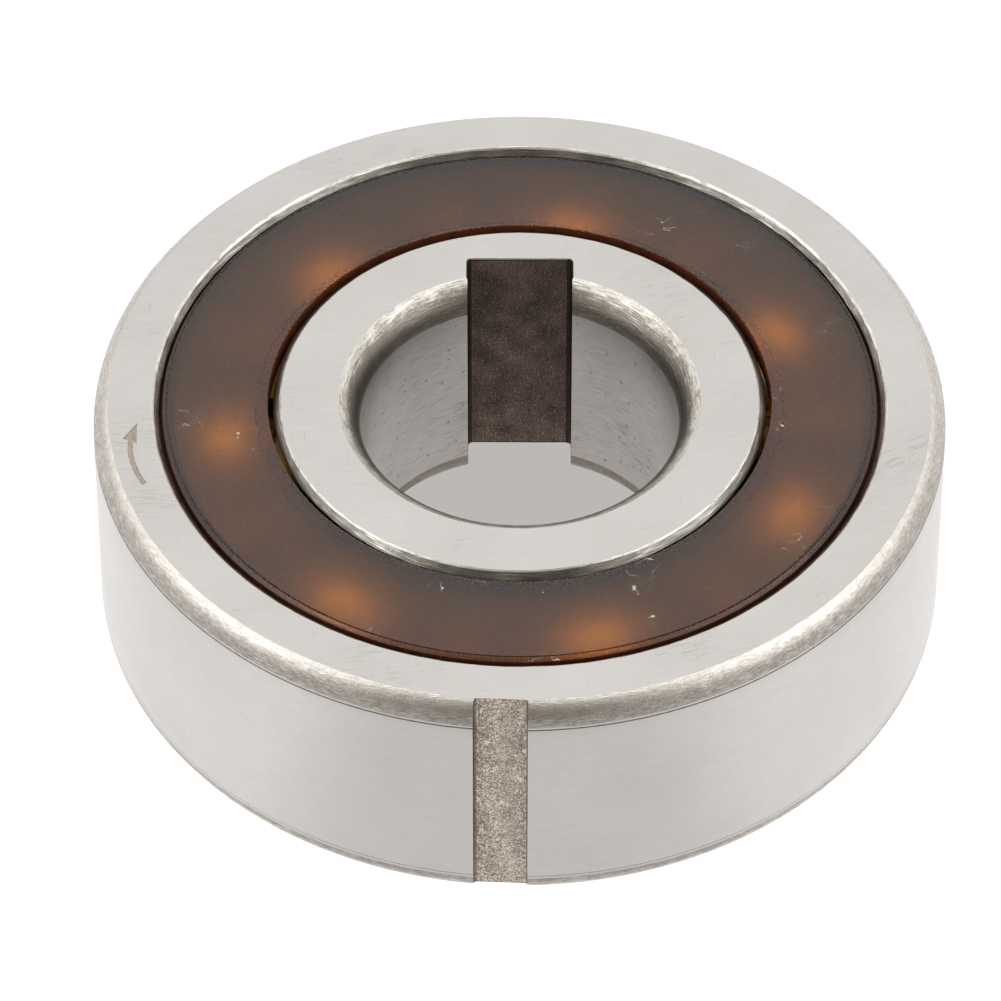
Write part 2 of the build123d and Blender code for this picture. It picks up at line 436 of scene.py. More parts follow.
@dataclass(frozen=True)
class AmberFinish(Finish):
    """Polyetherimide, injection moulded: a dark amber plastic that light passes through.

    Attributes:
        clear: Hex colour that the skin gives to light passing through.
        absorbed: Hex colour that stays after a depth of plastic, in millimetres.
        inner_roughness: Roughness of the inner skin, which comes from a spark-eroded mould.
        skin_heights: Heights between which the inner skin ends and the moulded outer one starts.
        haze: Hex colour of the filler, which covers a share of the outer skin.
        grain: Width of the skin's faint grain, in millimetres.
        relief: Depth of the grain in millimetres, as the light shows it.
        speck: Width of a dust speck, in millimetres.
        lint_reach: Size of a lint fibre's curl, in millimetres.
        lint_width: Noise on both sides of a fibre's middle.
        lint_start: Noise above which a patch holds lint.
    """

    clear: str
    absorbed: str
    depth: float
    roughness: float
    inner_roughness: float
    skin_heights: Pair
    haze: str
    haze_share: float
    ior: float
    grain: float = 1 / 9
    grain_roughness: float = 0.1
    relief: float = 0.002
    dust: str = "#b9b0a4"
    dust_roughness: float = 0.9
    speck: float = 0.035
    speck_share: float = 0.02
    lint_reach: float = 0.7
    lint_width: float = 0.003
    lint_patch: float = 1 / 0.7
    lint_start: float = 0.72

    def draw(self, nodes: Nodes) -> dict[str, Socket]:
        """Draw the plastic.

        Args:
            nodes: Nodes of the material.

        Returns:
            Inputs of the material's output node.
        """
        grain = {"Vector": nodes.place, "Scale": 1 / self.grain, "Detail": 3.0}
        skin = nodes.add("TexNoise", grain)
        height = nodes.add("SeparateXYZ", [nodes.place], "Z")
        depth = nodes.add("Math", [height], operation="ABSOLUTE")
        even, clouded = (
            nodes.add("MapRange", [depth, *self.skin_heights, inner, outer])
            for inner, outer in ((self.inner_roughness, self.roughness), (0.0, self.haze_share))
        )
        roughness = nodes.add("Math", [skin, self.grain_roughness, even], operation="MULTIPLY_ADD")
        moulded = {
            "Roughness": roughness,
            "IOR": self.ior,
            "Normal": nodes.add("Bump", {"Height": skin, "Distance": self.relief * MM}),
        }
        clear = {"Base Color": linear(self.clear), "Transmission Weight": 1.0}
        covered = nodes.add("BsdfPrincipled", clear | moulded)
        for share, layer in (
            (clouded, {"Base Color": linear(self.haze)} | moulded),
            (
                self.dirt(nodes),
                {"Base Color": linear(self.dust), "Roughness": self.dust_roughness},
            ),
        ):
            covered = nodes.add("MixShader", [share, covered, nodes.add("BsdfPrincipled", layer)])
        kept = linear(self.absorbed)[:3]
        loss = [-math.log(share) / (self.depth * MM) for share in kept]
        density = max(loss)
        colour = (*(1 - part / density for part in loss), 1.0)
        volume = nodes.add("VolumeAbsorption", {"Color": colour, "Density": density})
        return {"Surface": covered, "Volume": volume}

    def dirt(self, nodes: Nodes) -> Socket:
        """Scatter dust specks and a few curled lint fibres.

        Args:
            nodes: Nodes of the material.

        Returns:
            Output that is 1 on a speck or a fibre and 0 elsewhere.
        """
        # A cell is about 8 specks wide, and its speck reaches 0.1 of that.
        cells = nodes.add("TexVoronoi", {"Vector": nodes.place, "Scale": 0.12 / self.speck})
        near = nodes.add("Math", [cells, 0.1], operation="LESS_THAN")
        chance = nodes.add("SeparateColor", [cells.node.outputs["Color"]], "Red")
        chosen = nodes.add("Math", [chance, self.speck_share], operation="LESS_THAN")
        specks = nodes.add("Math", [near, chosen], operation="MULTIPLY")
        curl, patch = (
            nodes.add("TexNoise", {"Vector": nodes.place, "Scale": 1 / width, "Detail": detail})
            for width, detail in ((self.lint_reach, 1.0), (self.lint_patch, 0.0))
        )
        line = nodes.add("Math", [curl, 0.5, self.lint_width], operation="COMPARE")
        few = nodes.add("Math", [patch, self.lint_start], operation="GREATER_THAN")
        lint = nodes.add("Math", [line, few], operation="MULTIPLY")
        return nodes.add("Math", [specks, lint], operation="MAXIMUM")


@dataclass(frozen=True)
class PlasticFinish(Finish):
    """Opaque moulded plastic with a fine skin, in clouds from dark resin to light fibres.

    Its levels are the noise values at which it is all resin and all fibres.
    """

    dark: str
    light: str
    cloud: float
    roughness: Pair
    ior: float
    levels: Pair = (0.35, 0.8)
    relief: float = 0.004

    def draw(self, nodes: Nodes) -> dict[str, Socket]:
        """Draw the plastic.

        Args:
            nodes: Nodes of the material.

        Returns:
            Inputs of the material's output node.
        """
        pattern = {"Vector": nodes.place, "Scale": 1 / self.cloud, "Detail": 4.0, "Distortion": 1.5}
        fibres = nodes.add("TexNoise", pattern)
        tones = tuple(zip(self.levels, (self.dark, self.light)))
        plastic = {
            "Base Color": nodes.add("ValToRGB", [fibres], stops=tones),
            "Roughness": nodes.add("MapRange", [fibres, 0.0, 1.0, *self.roughness]),
            "IOR": self.ior,
            "Normal": nodes.add("Bump", {"Height": fibres, "Distance": self.relief * MM}),
        }
        return {"Surface": nodes.add("BsdfPrincipled", plastic)}


# Bearing steel, ground flat between wheels: pale and even, with fine arcs and a few darker
# scratches.
GROUND_FACE = SteelFinish(
    name="bearing_steel_face_ground",
    tones=((0.0, "#898784"), (0.3, "#b9b7b4"), (0.65, "#bfbebb"), (1.0, "#c7c5c1")),
    marks=(
        arcs(0.06, 1.1, cut=(0.2, 0.85), centre=(-14.0, 55.0)),
        arcs(0.12, 1.7, cut=(0.55, 0.95), centre=(-40.0, 30.0)),
    ),
    scratches=(
        arcs(0.06, 1.5, cut=(0.62, 0.76), centre=(70.0, -4.0)),
        arcs(0.06, 2.4, cut=(0.62, 0.78), centre=(-12.0, 44.0)),
        arcs(0.06, 2.2, cut=(0.63, 0.78), centre=(-52.0, 40.0)),
    ),
    roughness=(0.3, 0.34),
    relief=0.0006,
)
# Bearing steel, centreless ground: satin, with short fine dashes that run round the rim.
GROUND_RIM = SteelFinish(
    name="bearing_steel_rim_ground",
    tones=((0.0, "#bbb8b5"), (1.0, "#c9c6c3")),
    marks=(dashes(0.06, 0.5, cut=(0.25, 0.8)),),
    roughness=(0.3, 0.36),
    relief=0.001,
)
# Bearing steel, turned before hardening and then tumbled: lumpy, with painted shade in brown-grey
# low on the corner and a painted highlight glittering towards the face.
TURNED_CORNER = SteelFinish(
    name="bearing_steel_corner_turned",
    tones=((0.0, "#878079"), (0.3, "#aca69f"), (0.6, "#cdc8c1"), (1.0, "#efece6")),
    marks=(dashes(0.06, 0.3, cut=(0.4, 0.72)), grains(0.07, cut=(0.45, 0.75))),
    roughness=(0.3, 0.44),
    relief=0.006,
    blotch=0.4,
    blotch_share=0.25,
    painted_highlight_normals=(0.3, 0.8),
)
# The same on the bore's corners, where only the last third before the face has the painted
# highlight.
TURNED_BORE_CORNER = SteelFinish(
    name="bearing_steel_bore_corner_turned",
    tones=((0.0, "#7a756c"), (0.35, "#97928a"), (0.6, "#c2beb5"), (1.0, "#e9e6df")),
    marks=(dashes(0.05, 0.6, cut=(0.42, 0.72)), grains(0.1, cut=(0.5, 0.75))),
    roughness=(0.26, 0.42),
    relief=0.007,
    blotch=0.6,
    painted_highlight_normals=(0.74, 0.95),
)
# Edges that a file or a tumbler broke, with streaks along the edge, made bright by a painted
# highlight.
BROKEN_EDGE_PAINTED_HIGHLIGHT = SteelFinish(
    name="bearing_steel_edge_broken",
    tones=((0.0, "#9c958d"), (0.4, "#cdc8c1"), (1.0, "#f2efea")),
    marks=(dashes(0.07, 0.4, cut=(0.35, 0.65)), grains(0.16, cut=(0.5, 0.75))),
    roughness=(0.26, 0.4),
    relief=0.003,
    blotch=1.6,
)
# Chamfers beside the shield, turned and left as turned, with streaks along the edge, in painted
# shade:
# dark olive-grey where the chamfer turns down into the gap beside the shield.
TURNED_CHAMFER_PAINTED_SHADE = SteelFinish(
    name="bearing_steel_chamfer_turned",
    tones=((0.0, "#4c4a45"), (0.5, "#85827b"), (0.85, "#b4b0a8"), (1.0, "#efece6")),
    marks=(dashes(0.05, 0.7, cut=(0.4, 0.7)), grains(0.2, cut=(0.6, 0.75))),
    roughness=(0.24, 0.36),
    relief=0.003,
    blotch=2.2,
    blotch_share=0.5,
)
# Step where the rim's grinding stops short of the corner, and the keyway's walls: a dull line.
GRINDING_STEP = SteelFinish(
    name="bearing_steel_step_dull",
    tones=((0.0, "#6d665f"), (1.0, "#948c84")),
    marks=(grains(0.2),),
    roughness=(0.45, 0.6),
)
# Bearing steel, honed: grey and soft, with fine strokes and a few dark pits of rust stain.
HONED_BORE = SteelFinish(
    name="bearing_steel_bore_honed",
    tones=((0.0, "#908d8a"), (0.3, "#b8b5b3"), (1.0, "#cdcac8")),
    marks=(dashes(0.06, 0.6, cut=(0.3, 0.75)),),
    roughness=(0.3, 0.4),
    relief=0.001,
    pit_size=0.11,
    pit_share=0.16,
)
# Bearing steel, plain turned, hardened and oiled, for the races and the snap grooves, in painted
# shade: near black, for the dark inside of the bearing.
TURNED_INSIDE_PAINTED_SHADE = SteelFinish(
    name="bearing_steel_inside_turned",
    tones=((0.0, "#2b2724"), (1.0, "#443e39")),
    marks=(dashes(0.05, 3.0),),
    roughness=(0.22, 0.34),
    relief=0.001,
)
# Keyway in the rim, milled and left with its hardening bloom: coarse glittering grain.
GRAINY_KEYWAY = SteelFinish(
    name="bearing_steel_keyway_milled",
    tones=((0.0, "#7d7268"), (0.5, "#b3a699"), (1.0, "#eee2d6")),
    marks=(grains(0.07, cut=(0.4, 0.62)), grains(0.18, cut=(0.5, 0.7))),
    roughness=(0.32, 0.5),
    relief=0.012,
    blotch=0.6,
    blotch_share=0.25,
)
# Keyway in the bore, broached before hardening: brown-black oxide scale with strokes along it.
SCALED_KEYWAY = SteelFinish(
    name="bearing_steel_keyway_scaled",
    tones=((0.0, "#4b3e3b"), (0.4, "#7a6a60"), (1.0, "#b8a69a")),
    marks=(strokes(0.08, 0.8, cut=(0.55, 0.95)), grains(0.07, cut=(0.5, 0.72))),
    roughness=(0.45, 0.62),
    relief=0.006,
    blotch=1.1,
    metallic=0.7,
)
# Painted shade, nearly black: the shadow under the edge that the broach rolled over at the keyway's
# end, and on the keyway's walls.
KEYWAY_PAINTED_SHADE = SteelFinish(
    name="bearing_steel_burr_scaled",
    tones=((0.0, "#1c1715"), (1.0, "#332b27")),
    marks=(grains(0.1),),
    roughness=(0.5, 0.65),
    metallic=0.5,
)
# Arrow, etched by acid through a stencil: a matt grey-brown line.
ETCHED_MARK = SteelFinish(
    name="bearing_steel_mark_etched",
    tones=((0.0, "#8d837a"), (1.0, "#b3a99f")),
    marks=(grains(0.08),),
    roughness=(0.45, 0.6),
)
# Bearing balls, lapped: a mirror.
LAPPED_BALL = SteelFinish(
    name="bearing_steel_ball_lapped",
    tones=((0.0, "#ebe8e3"), (1.0, "#f4f2ee")),
    marks=(grains(0.4),),
    roughness=(0.06, 0.1),
    relief=0.0005,
)
# Sprags, tumbled after hardening: grey and satin.
TUMBLED_SPRAG = SteelFinish(
    name="bearing_steel_sprag_tumbled",
    tones=((0.0, "#615b54"), (1.0, "#746e67")),
    marks=(grains(0.15),),
    roughness=(0.35, 0.5),
)
# Spring strip, cold rolled: bright, with fine strokes along the strip.
ROLLED_SPRING = SteelFinish(
    name="spring_steel_rolled",
    tones=((0.0, "#55504a"), (1.0, "#77706a")),
    marks=(strokes(0.04, 0.8),),
    roughness=(0.22, 0.32),
    relief=0.001,
)
AMBER_SHIELD = AmberFinish(
    name="polyetherimide_shield_moulded",
    clear="#fff6ea",
    absorbed="#fed455",
    depth=0.6,
    roughness=0.22,
    inner_roughness=0.95,
    skin_heights=(4.4, 4.9),
    haze="#27322b",
    haze_share=0.12,
    ior=1.53,
)
# Painted shade: the same plastic on its edge faces, made opaque and dark red-brown for the light
# that it swallows when seen edge-on.
SHIELD_EDGE_PAINTED_SHADE = PlasticFinish(
    name="polyetherimide_shield_edge",
    dark="#4a2412",
    light="#653218",
    cloud=0.8,
    roughness=(0.6, 0.75),
    ior=1.3,
)
# Glass-filled nylon, injection moulded: near black, with a fine fibrous skin.
BLACK_CAGE = PlasticFinish(
    name="glass_filled_nylon_cage_moulded",
    dark="#14100e",
    light="#2c2420",
    cloud=0.25,
    roughness=(0.4, 0.6),
    ior=1.53,
)


# ---------------- rings


WALL_STEPS = 5
CORNER_STEPS = 6
ARC_STEPS = 14
RACE_STEPS = 10
# Radius of the circle of noise that a wavering edge reads. The larger, the shorter the waves.
WAVER_CIRCLE = 14
# Finer waves on top: how many times shorter they are, and how strong beside the long ones.
RIPPLE, RIPPLE_SHARE = 3, 0.6
# Shares of half a keyway's floor at which a turn has a vertex, besides the floor's end.
FLOOR_SHARES = (0.0, 0.3, 0.6, 0.85)
# Distances from an edge to the turn beside it that keeps the shading of the flat flat.
SIDE_FLAT, FACE_FLAT, KEY_FLAT, LIP_FLAT = 0.6, 0.15, 0.3, 0.1


def polar(angle: float, distance: float) -> Vector:
    """Turn an angle in radians and a distance into a flat point."""
    return Vector((math.cos(angle), math.sin(angle))) * distance


@dataclass(frozen=True)
class Keyway:
    """Straight slot along the whole width of a ring.

    Attributes:
        azimuth: Direction of the slot from the axis, in radians.
        floor: Distance of its flat floor from the axis.
        width: Its width.
        corner: Radius between floor and wall.
        outward: Whether its floor lies further out than its mouth.
    """

    azimuth: float
    floor: float
    width: float
    corner: float
    outward: bool

    def side(self, grow: float) -> list[Vector]:
        """Draw half of the slot's outline, from the middle of the floor to the end of the corner.

        Args:
            grow: Amount by which the slot is wider and deeper, where its edge is broken.

        Returns:
            Points with X outwards and Y away from the slot's middle.
        """
        sign = 1 if self.outward else -1
        half = self.width / 2 + grow
        depth = self.floor + sign * grow
        points = [Vector((depth, half * share)) for share in FLOOR_SHARES]
        for i in range(CORNER_STEPS + 1):
            turn = math.radians(90) * i / CORNER_STEPS
            back, aside = (self.corner * (1 - part) for part in (math.cos(turn), math.sin(turn)))
            points.append(Vector((depth - sign * back, half - aside)))
        return points


@dataclass(frozen=True)
class Station:
    """One turn of the mesh round a ring.

    Attributes:
        radius: Distance from the axis.
        height: Height above the middle plane.
        finish: Number of the finish between this turn and the next.
        slot: The same on the keyway's floor, or None where the keyway doesn't reach this turn.
        grow: Amount by which the keyway is wider here.
        waver: How far the edge wanders inwards from its true line.
    """

    radius: float
    height: float
    finish: int
    slot: int | None = None
    grow: float = 0.0
    waver: float = 0.0

    def slot_points(self, keyway: Keyway) -> list[Vector]:
        """Place the vertices inside the keyway, which lies along X.

        Args:
            keyway: Slot that the ring has.

        Returns:
            Flat points in millimetres, anticlockwise.
        """
        side = keyway.side(self.grow)
        end = side[-1]
        reach = math.sqrt(max(self.radius**2 - end.y**2, 0.0))
        if not keyway.outward and reach < end.x:
            inside = [p for p in side if p.length <= self.radius]
            last, outside = inside[-1], side[len(inside)]
            share = (self.radius - last.length) / (outside.length - last.length)
            half = inside + [last.lerp(outside, share)] * (len(side) - len(inside) + WALL_STEPS)
        else:
            half = side + [
                Vector((end.x + (reach - end.x) * (i + 1) / WALL_STEPS, end.y))
                for i in range(WALL_STEPS)
            ]
        return [Vector((p.x, -p.y)) for p in reversed(half)] + half[1:]

    def points(self, keyway: Keyway, steps: int, columns: list[float]) -> list[Vector]:
        """Place the vertices of the turn.

        Args:
            keyway: Slot that the ring has.
            steps: Number of points outside the slot.
            columns: Azimuths from the keyway's middle that a turn outside the keyway takes.

        Returns:
            Points in millimetres, anticlockwise, the slot's last.
        """
        if self.slot is None:
            slot = [polar(a, self.radius) for a in columns]
        else:
            slot = self.slot_points(keyway)
        mouth = math.atan2(slot[-1].y, slot[-1].x)
        open_angle = 2 * (math.pi - mouth)
        arc = [polar(mouth + open_angle * (i + 1) / (steps + 1), self.radius) for i in range(steps)]
        turned = Matrix.Rotation(keyway.azimuth, 2)
        points = []
        for flat in arc + slot:
            x, y = turned @ flat
            if self.waver:
                spot = Vector((x, y, 0)).normalized() * WAVER_CIRCLE
                drift = noise.noise(spot) + RIPPLE_SHARE * noise.noise(spot * RIPPLE)
                scale = 1 - self.waver * ((1 + drift) / 2) / self.radius
                x, y = x * scale, y * scale
            points.append(Vector((x, y, self.height)))
        return points


def arc_stations(start: Pair, end: Pair, finish: int, slot: int) -> list[Station]:
    """Place turns along a corner arc that starts along the axis and follows the keyway.

    Args:
        start: Radius and height where the arc leaves the cylinder, along the axis.
        end: Radius and height where it meets the face.
        finish: Number of its finish.
        slot: Number of the finish inside the keyway.

    Returns:
        The turns, in order, with both ends.
    """
    across, up = end[0] - start[0], end[1] - start[1]
    radius = (across**2 + up**2) / (2 * across)
    sweep = math.asin(up / abs(radius))
    turns = []
    for i in range(ARC_STEPS):
        turn = sweep * i / (ARC_STEPS - 1)
        reach = start[0] + radius * (1 - math.cos(turn))
        turns.append(Station(reach, start[1] + abs(radius) * math.sin(turn), finish, slot))
    return turns


def race_stations(shoulder: Station, bottom: float, groove: float) -> list[Station]:
    """Place turns along the upper half of a race groove.

    Args:
        shoulder: Turn beside the groove.
        bottom: Radius at its bottom.
        groove: Radius of the groove's own round section.

    Returns:
        The turns, from the groove's edge to its bottom.
    """
    depth = abs(bottom - shoulder.radius)
    outward = 1 if bottom > shoulder.radius else -1
    end = math.sqrt(groove**2 - (groove - depth) ** 2)
    turns = []
    for i in range(RACE_STEPS):
        height = end * (1 - i / RACE_STEPS)
        reach = bottom - outward * groove + outward * math.sqrt(groove**2 - height**2)
        turns.append(Station(reach, height, shoulder.finish))
    return [*turns, Station(bottom, 0.0, shoulder.finish)]


def loft(name: str, upper: list[Station], keyway: Keyway, steps: int, wall: int) -> Piece:
    """Skin a ring from the turns of its upper half.

    Args:
        name: Piece's name.
        upper: Turns from the middle plane over the face to the bottom of the race.
        keyway: Slot that the ring has.
        steps: Number of points outside the slot in each turn.
        wall: Number of the finish on the keyway's walls and in its corners.

    Returns:
        The ring, whose faces carry the number of their finish.
    """
    edge = [s for s in upper if s.slot is not None][-1]
    columns: list[float] = []
    for point in edge.slot_points(keyway):
        columns.append(max([math.atan2(point.y, point.x), *columns[-1:]]))
    run = list(upper)
    for turn, before in zip(upper[-2:0:-1], upper[-3::-1]):
        slot = None if turn.slot is None else before.slot
        run.append(replace(turn, height=-turn.height, finish=before.finish, slot=slot))
    mesh = bmesh.new()
    turns = [[mesh.verts.new(p * MM) for p in s.points(keyway, steps, columns)] for s in run]
    count = len(turns[0])
    for i, station in enumerate(run):
        after = (i + 1) % len(run)
        in_slot = station.slot is not None and run[after].slot is not None
        for j in range(count):
            k = (j + 1) % count
            face = mesh.faces.new((turns[i][j], turns[i][k], turns[after][k], turns[after][j]))
            face.material_index = station.finish
            if in_slot and j >= steps and k >= steps:
                on_wall = min(j - steps, count - 1 - j) < WALL_STEPS + CORNER_STEPS
                walled = on_wall and station.slot != station.finish
                face.material_index = wall if walled else station.slot
    ring = new_piece(name, mesh)
    finish_mesh(ring)
    return ring


def box_radius(node: str) -> float:
    """Read the outer radius of a CAD node."""
    low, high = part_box(node)
    return round((high.x - low.x) / 2 * PER_MM, 2)


def keyway_at(mount: str, width: float, corner: float, outward: bool) -> Keyway:
    """Place a keyway by the mount on the middle of its floor.

    Args:
        mount: Name of the mount.
        width: Keyway's width.
        corner: Radius between floor and wall.
        outward: Whether its floor lies further out than its mouth.

    Returns:
        The keyway.
    """
    x, y = (part * PER_MM for part in MOUNTS[mount]["pos_m"][:2])
    return Keyway(math.atan2(y, x), math.hypot(x, y), width, corner, outward)


@dataclass
class OuterRing:
    """Outer ring: ground rim with a keyway, rounded corners, snap grooves and the outer race.

    The chamfer's painted shade and streaks start at a share of its width from the mouth and from
    the face.
    """

    corner_radial: float = 0.55
    corner_axial: float = 1.0
    step_depth: float = 0.02
    step_height: float = 0.05
    mouth_radius: float = 13.5
    mouth_chamfer: float = 0.25
    mouth_round: float = 0.025
    chamfer_shade_start: Pair = (0.75, 0.3)
    snap_floor: float = 4.06
    snap_width: float = 0.3
    snap_slope: float = 0.15
    snap_radius: float = 13.75
    shoulder: float = 12.92
    race_bottom: float = 13.788
    groove_radius: float = 2.889
    key_width: float = 2.0
    key_corner: float = 0.1
    edge_waver: float = 0.03
    steps: int = 420
    finishes: tuple[SteelFinish, ...] = (
        GROUND_RIM, GRINDING_STEP, TURNED_CORNER, GROUND_FACE,
        BROKEN_EDGE_PAINTED_HIGHLIGHT, TURNED_INSIDE_PAINTED_SHADE, GRAINY_KEYWAY, TURNED_CHAMFER_PAINTED_SHADE,
    )

    def build(self) -> Piece:
        """Make the ring's mesh.

        Returns:
            The undressed ring.
        """
        rim, dull, corner, face, broken, inside, key, shaded_chamfer = range(len(self.finishes))
        radius, top = box_radius("outer_ring"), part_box("outer_ring")[1].z * PER_MM
        keyway = keyway_at("housing_keyway", self.key_width, self.key_corner, outward=False)
        arc_start, edge = top - self.corner_axial, radius - self.corner_radial
        mouth, chamfer, waver = self.mouth_radius, self.mouth_chamfer, self.edge_waver
        lip = mouth + chamfer + self.mouth_round
        across, down = (chamfer * share for share in self.chamfer_shade_start)
        snap_top = self.snap_floor + self.snap_width
        outside = (
            (radius, 0.0, rim),
            (radius, arc_start - SIDE_FLAT, rim),
            (radius, arc_start - self.step_height, dull),
            (radius - self.step_depth, arc_start, rim),
        )
        inner = (
            (edge - FACE_FLAT, top, face, 0.0),
            (lip + LIP_FLAT, top, face, 0.0),
            # Painted highlight on the face's edge and the top of the chamfer, painted shade on the
            # rest of the chamfer.
            (lip, top, broken, -waver),
            (mouth + chamfer, top - self.mouth_round / 2, broken, -waver),
            (mouth + across, top - down, shaded_chamfer, -waver),
            # From here into the bearing: painted shade, near black.
            (mouth, top - chamfer, inside, -waver),
            (mouth, snap_top + self.snap_slope, inside, 0.0),
            (self.snap_radius, snap_top, inside, 0.0),
            (self.snap_radius, self.snap_floor, inside, 0.0),
            (self.shoulder, self.snap_floor, inside, 0.0),
        )
        upper = [
            *(Station(r, z, finish, key) for r, z, finish in outside),
            *arc_stations((radius, arc_start), (edge, top), corner, key)[1:-1],
            Station(edge, top, face, key, waver=waver),
            *(Station(r, z, finish, waver=waver) for r, z, finish, waver in inner),
        ]
        upper += race_stations(upper[-1], self.race_bottom, self.groove_radius)
        return loft("outer_ring_finished", upper, keyway, self.steps, wall=dull)

    def dress(self, ring: Piece) -> None:
        """Give the ring its finishes, its arrow and its place in the frame.

        Args:
            ring: Undressed ring.
        """
        for finish in self.finishes:
            ring.data.materials.append(finish.material())
        DirectionArrow(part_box("outer_ring")[1].z * PER_MM).etch(ring)
        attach(ring, "outer_ring")
        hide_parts("outer_ring")


@dataclass
class DirectionArrow:
    """Curved arrow etched in the top face. It gives the way in which the outer ring runs free.

    Places are polar: azimuth in degrees and distance from the axis.
    """

    height: float
    tip: Pair = (185.57, 14.355)
    head: tuple[Pair, Pair] = ((188.48, 14.96), (190.02, 14.49))
    shaft: tuple[Pair, Pair, Pair] = ((189.12, 14.675), (193.33, 14.79), (198.2, 14.64))
    shaft_width: float = 0.2
    shaft_steps: int = 16
    depth: float = 0.02
    over: float = 0.05

    def outline(self) -> list[Vector]:
        """Draw the arrow's outline.

        Returns:
            Points in millimetres, in order round the arrow.
        """
        places = (self.tip, *self.head, *self.shaft)
        tip, outer, inner, start, middle, end = (polar(math.radians(a), r) for a, r in places)
        pull = middle * 2 - (start + end) / 2
        left, right = [], []
        for i in range(self.shaft_steps + 1):
            t = i / self.shaft_steps
            point = start * (1 - t) ** 2 + pull * 2 * t * (1 - t) + end * t**2
            along = ((pull - start) * (1 - t) + (end - pull) * t).normalized()
            side = Vector((-along.y, along.x)) * self.shaft_width / 2
            left.append(point + side)
            right.append(point - side)
        if (left[0] - outer).length > (left[0] - inner).length:
            outer, inner = inner, outer
        return [tip, outer, *left, *reversed(right), inner]

    def etch(self, ring: Piece) -> None:
        """Cut the arrow into the ring's top face and darken its floor.

        Args:
            ring: Ring with its finishes on.
        """
        mesh = bmesh.new()
        low, high = (
            [mesh.verts.new(Vector((*p, self.height + rise)) * MM) for p in self.outline()]
            for rise in (-self.depth, self.over)
        )
        mesh.faces.new(low)
        mesh.faces.new(reversed(high))
        for i in range(len(low)):
            j = (i + 1) % len(low)
            mesh.faces.new((low[i], low[j], high[j], high[i]))
        bmesh.ops.recalc_face_normals(mesh, faces=mesh.faces)
        cutter = new_piece("arrow_cutter", mesh)
        cutter.data.materials.append(ETCHED_MARK.material())
        cut = ring.modifiers.new("etch", "BOOLEAN")
        cut.operation = "DIFFERENCE"
        cut.solver = "EXACT"
        cut.object = cutter
        cut.material_mode = "TRANSFER"
        bake_modifiers(ring)
        bpy.data.objects.remove(cutter)
        ring.data.set_sharp_from_angle(angle=SHARP_ANGLE)


@dataclass
class InnerRing:
    """Inner ring: ground faces, rounded bore corners, a keyway in the bore and the inner race.

    The chamfer's painted shade and streaks start at a share of its width from the shoulder and from
    the face.
    """

    corner_radial: float = 0.82
    corner_axial: float = 1.2
    face_chamfer: float = 0.28
    chamfer_shade_start: Pair = (0.78, 0.16)
    race_bottom: float = 8.212
    groove_radius: float = 2.889
    key_width: float = 4.0
    key_corner: float = 0.2
    edge_break: float = 0.05
    keyway_shade_height: float = 0.14
    edge_waver: float = 0.03
    steps: int = 300
    finishes: tuple[SteelFinish, ...] = (
        HONED_BORE, TURNED_BORE_CORNER, GROUND_FACE, BROKEN_EDGE_PAINTED_HIGHLIGHT,
        TURNED_INSIDE_PAINTED_SHADE, SCALED_KEYWAY, KEYWAY_PAINTED_SHADE, TURNED_CHAMFER_PAINTED_SHADE,
    )

    def build(self) -> Piece:
        """Make the ring's mesh.

        Returns:
            The undressed ring.
        """
        bore, corner, face, broken, inside, key, keyway_shade, shaded_chamfer = range(len(self.finishes))
        shoulder, top = box_radius("inner_ring"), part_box("inner_ring")[1].z * PER_MM
        radius = MOUNTS["bore"]["dims"]["r_mm"]
        keyway = keyway_at("shaft_keyway", self.key_width, self.key_corner, outward=True)
        edge, chamfer, waver = radius + self.corner_radial, self.face_chamfer, self.edge_waver
        arc = arc_stations((radius, top - self.corner_axial), (edge, top), corner, key)[:-1]
        # Painted shade, nearly black, on the keyway's floor in its last part before the face.
        arc = [replace(s, slot=keyway_shade) if s.height > top - self.keyway_shade_height else s for s in arc]
        arc[-1] = replace(arc[-1], slot=broken)
        lip = shoulder - chamfer
        across, down = (chamfer * share for share in self.chamfer_shade_start)
        upper = [
            Station(radius, 0.0, bore, key),
            Station(radius, top - self.corner_axial - SIDE_FLAT, bore, key),
            *arc,
            Station(edge, top, face, key, self.edge_break, waver),
            Station(keyway.floor + KEY_FLAT, top, face),
            Station(lip - LIP_FLAT, top, face),
            # Painted highlight on the face's edge and the top of the chamfer, painted shade on the
            # rest of the chamfer.
            Station(lip, top, broken, waver=waver),
            Station(shoulder - across, top - down, shaded_chamfer, waver=waver),
            # From here into the bearing: painted shade, near black.
            Station(shoulder, top - chamfer, inside),
        ]
        upper += race_stations(upper[-1], self.race_bottom, self.groove_radius)
        return loft("inner_ring_finished", upper, keyway, self.steps, wall=keyway_shade)

    def dress(self, ring: Piece) -> None:
        """Give the ring its finishes and its place in the frame.

        Args:
            ring: Undressed ring.
        """
        for finish in self.finishes:
            ring.data.materials.append(finish.material())
        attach(ring, "inner_ring")
        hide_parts("inner_ring")


# ---------------- shields


